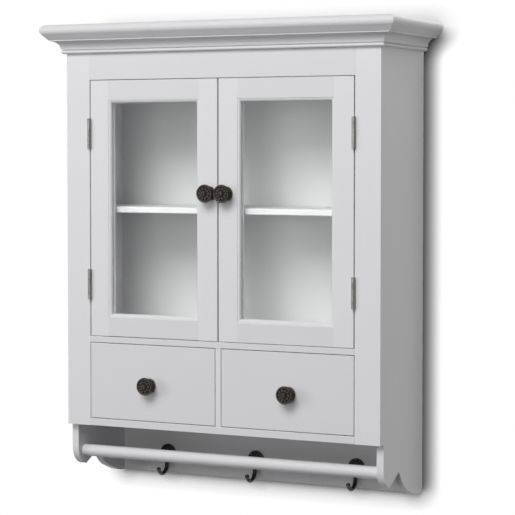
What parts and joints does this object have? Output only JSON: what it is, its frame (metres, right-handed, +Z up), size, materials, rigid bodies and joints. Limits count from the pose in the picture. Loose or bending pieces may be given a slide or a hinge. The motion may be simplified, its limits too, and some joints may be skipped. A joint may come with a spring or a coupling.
{
  "type": "wall-hung glazed cabinet with towel rail",
  "caption": "Wall-hung bathroom cabinet with a moulded cornice, inset glazed doors over drawers, a towel rail between scrolled side panels and coat hooks on a back apron",
  "frame": {"origin": "midway between the entry holes of the two keyhole hangers, in the wall plane", "axes": "+Z up, +Y into the wall, so the doors face -Y; +X to the right of someone who faces the doors"},
  "size_m": [0.648, 0.219, 0.7885],
  "materials": {
    "painted_wood": "satin white paint over fine-grained wood",
    "faced_hardboard": "white-faced hardboard, eggshell",
    "clear_glass": "clear polished float glass",
    "dark_bronze": "antique dark bronze on a casting",
    "hinge_steel": "dull nickel",
    "zinc_steel": "bright zinc",
    "catch_plastic": "white moulded plastic",
    "magnet_ferrite": "ferrite grey-black"
  },
  "bodies": {
    "cabinet": {"back_apron": "painted_wood", "back_panel": "faced_hardboard", "bottom_face_rail": "painted_wood", "bottom_panel": "painted_wood", "catch_housings": "catch_plastic", "catch_magnets": "magnet_ferrite", "cornice_cap": "painted_wood", "cornice_front": "painted_wood", "cornice_returns": "painted_wood", "cupboard_deck": "painted_wood", "drawer_divider": "painted_wood", "drawer_guides": "painted_wood", "face_mullion": "painted_wood", "fitting_screws": "zinc_steel", "frame_hinge_leaves": "hinge_steel", "frame_hinge_screws": "zinc_steel", "hanger_plates": "zinc_steel", "hanging_rail": "painted_wood", "hinge_pins": "zinc_steel", "hooks": "dark_bronze", "left_face_stile": "painted_wood", "left_side_panel": "painted_wood", "middle_face_rail": "painted_wood", "right_face_stile": "painted_wood", "right_side_panel": "painted_wood", "shelf": "painted_wood", "shelf_pegs": "zinc_steel", "top_face_rail": "painted_wood", "top_panel": "painted_wood", "towel_rail": "painted_wood"},
    "left_door": {"left_door_bottom_rail": "painted_wood", "left_door_glass": "clear_glass", "left_door_glazing_beads": "painted_wood", "left_door_hinge_leaves": "hinge_steel", "left_door_hinge_stile": "painted_wood", "left_door_knob": "dark_bronze", "left_door_meeting_stile": "painted_wood", "left_door_screws": "zinc_steel", "left_door_strike_plate": "zinc_steel", "left_door_top_rail": "painted_wood"},
    "right_door": {"right_door_bottom_rail": "painted_wood", "right_door_glass": "clear_glass", "right_door_glazing_beads": "painted_wood", "right_door_hinge_leaves": "hinge_steel", "right_door_hinge_stile": "painted_wood", "right_door_knob": "dark_bronze", "right_door_meeting_stile": "painted_wood", "right_door_screws": "zinc_steel", "right_door_strike_plate": "zinc_steel", "right_door_top_rail": "painted_wood"},
    "left_drawer": {"left_drawer_bottom": "faced_hardboard", "left_drawer_box": "painted_wood", "left_drawer_front": "painted_wood", "left_drawer_knob": "dark_bronze", "left_drawer_knob_screw": "zinc_steel"},
    "right_drawer": {"right_drawer_bottom": "faced_hardboard", "right_drawer_box": "painted_wood", "right_drawer_front": "painted_wood", "right_drawer_knob": "dark_bronze", "right_drawer_knob_screw": "zinc_steel"}
  },
  "joints": [
    {"name": "left_door_hinge", "type": "hinge", "parent": "cabinet", "child": "left_door", "pos_m": [-0.2441, -0.1885, -0.224], "axis": [0, 0, -1], "range_deg": [0, 170]},
    {"name": "right_door_hinge", "type": "hinge", "parent": "cabinet", "child": "right_door", "pos_m": [0.2441, -0.1885, -0.224], "axis": [0, 0, 1], "range_deg": [0, 170]},
    {"name": "left_drawer_slide", "type": "slide", "parent": "cabinet", "child": "left_drawer", "axis": [0, -1, 0], "range_m": [0, 0.12]},
    {"name": "right_drawer_slide", "type": "slide", "parent": "cabinet", "child": "right_drawer", "axis": [0, -1, 0], "range_m": [0, 0.12]}
  ]
}
